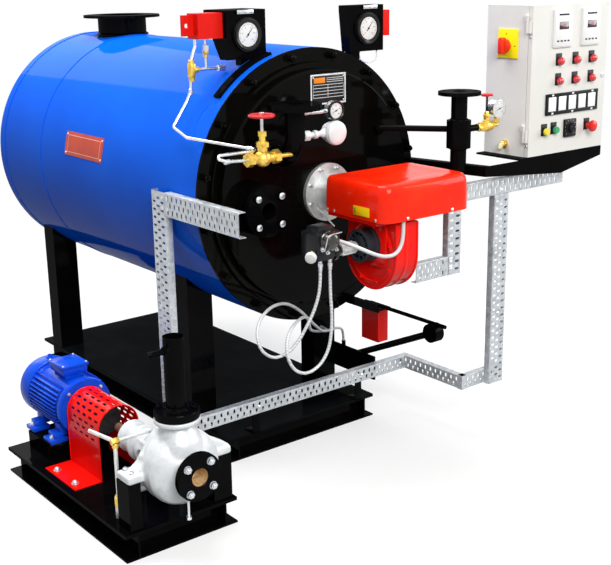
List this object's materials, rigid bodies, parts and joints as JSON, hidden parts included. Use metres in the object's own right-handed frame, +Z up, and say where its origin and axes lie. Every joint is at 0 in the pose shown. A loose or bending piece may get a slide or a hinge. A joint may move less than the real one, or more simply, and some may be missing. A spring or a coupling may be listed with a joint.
{
  "type": "industrial boiler",
  "caption": "Skid-mounted horizontal oil-fired heater with blue drum, front burner, pipe fittings, control panel, cable trays and a separate hot-oil pump set.",
  "frame": {"origin": "on the floor under the middle of the main skid, at the bottom face of its middle cross channel and below the drum's axis", "axes": "+Z up, +Y along the drum from the burner end to the chimney end, +X towards the control panel"},
  "size_m": [1.997, 1.9037, 1.489],
  "materials": {
    "black_paint": "gloss",
    "blue_jacket": "gloss",
    "motor_blue": "satin",
    "burner_red": "gloss",
    "label_orange": "satin",
    "panel_grey": "satin",
    "pump_silver": "painted silver",
    "galvanised": "galvanised",
    "steel": "satin",
    "flange_alloy": "cast",
    "brass": "satin",
    "white_plastic": "matte",
    "black_plastic": "matte",
    "red_plastic": "gloss",
    "hose_grey": "matte"
  },
  "bodies": {
    "heater": {"air_intake": "black_plastic", "bearing_bracket": "pump_silver", "burner_conduit": "white_plastic", "burner_cover": "burner_red", "burner_flange": "flange_alloy", "burner_housing": "burner_red", "cable_tray_front": "galvanised", "cable_tray_left": "galvanised", "cable_tray_panel": "galvanised", "chimney_stub": "black_paint", "coupling_guard": "burner_red", "deck_plate": "black_paint", "dial_thermometer": "steel", "discharge_pipe": "black_paint", "drain_tube": "steel", "drum_jacket": "blue_jacket", "filter_box": "burner_red", "front_door": "black_paint", "front_ring": "black_paint", "gauge_box_left": "black_paint", "gauge_box_right": "black_paint", "gauge_cock": "brass", "globe_valve": "brass", "hose_return": "hose_grey", "hose_supply": "hose_grey", "impulse_tube": "steel", "label_plate": "label_orange", "leg_front_left": "black_paint", "leg_front_right": "black_paint", "leg_rear_left": "black_paint", "leg_rear_right": "black_paint", "motor": "motor_blue", "nameplate": "steel", "oil_pump": "black_plastic", "outlet_nozzle": "black_paint", "panel_bracket": "black_paint", "panel_enclosure": "panel_grey", "pressure_gauge_left": "black_plastic", "pressure_gauge_right": "black_plastic", "pressure_switch_left": "burner_red", "pressure_switch_right": "burner_red", "pump_casing": "pump_silver", "pump_skid": "black_paint", "rear_end_plate": "blue_jacket", "return_nozzle": "black_paint", "saddle_strap": "black_paint", "sensor_head": "white_plastic", "shaft_coupling": "steel", "side_frame": "black_paint", "skid_frame": "black_paint", "stand_gauge": "steel", "standpipe": "black_paint", "suction_flange": "black_paint"},
    "valve_handwheel": {"valve_handwheel": "burner_red"},
    "cock_handwheel": {"cock_handwheel": "burner_red"},
    "panel_door": {"panel_door": "panel_grey", "door_lamps": "red_plastic", "door_instruments": "black_plastic"},
    "isolator_knob": {"isolator_knob": "red_plastic"}
  },
  "joints": [
    {"name": "panel_door_hinge", "type": "hinge", "parent": "heater", "child": "panel_door", "pos_m": [0.671, -1.0805, 1.2], "axis": [0, 0, 1], "range_deg": [-100, 0]},
    {"name": "isolator_turn", "type": "hinge", "parent": "heater", "child": "isolator_knob", "pos_m": [0.67, -0.9855, 1.346], "axis": [1, 0, 0], "range_deg": [0, 90]},
    {"name": "valve_wheel_turn", "type": "hinge", "parent": "heater", "child": "valve_handwheel", "pos_m": [-0.312, -0.9225, 1.194], "axis": [0, 0, 1], "range_deg": [0, 720]},
    {"name": "cock_wheel_turn", "type": "hinge", "parent": "heater", "child": "cock_handwheel", "pos_m": [0.543, -1.0275, 1.15], "axis": [0, 0, 1], "range_deg": [0, 360]}
  ]
}
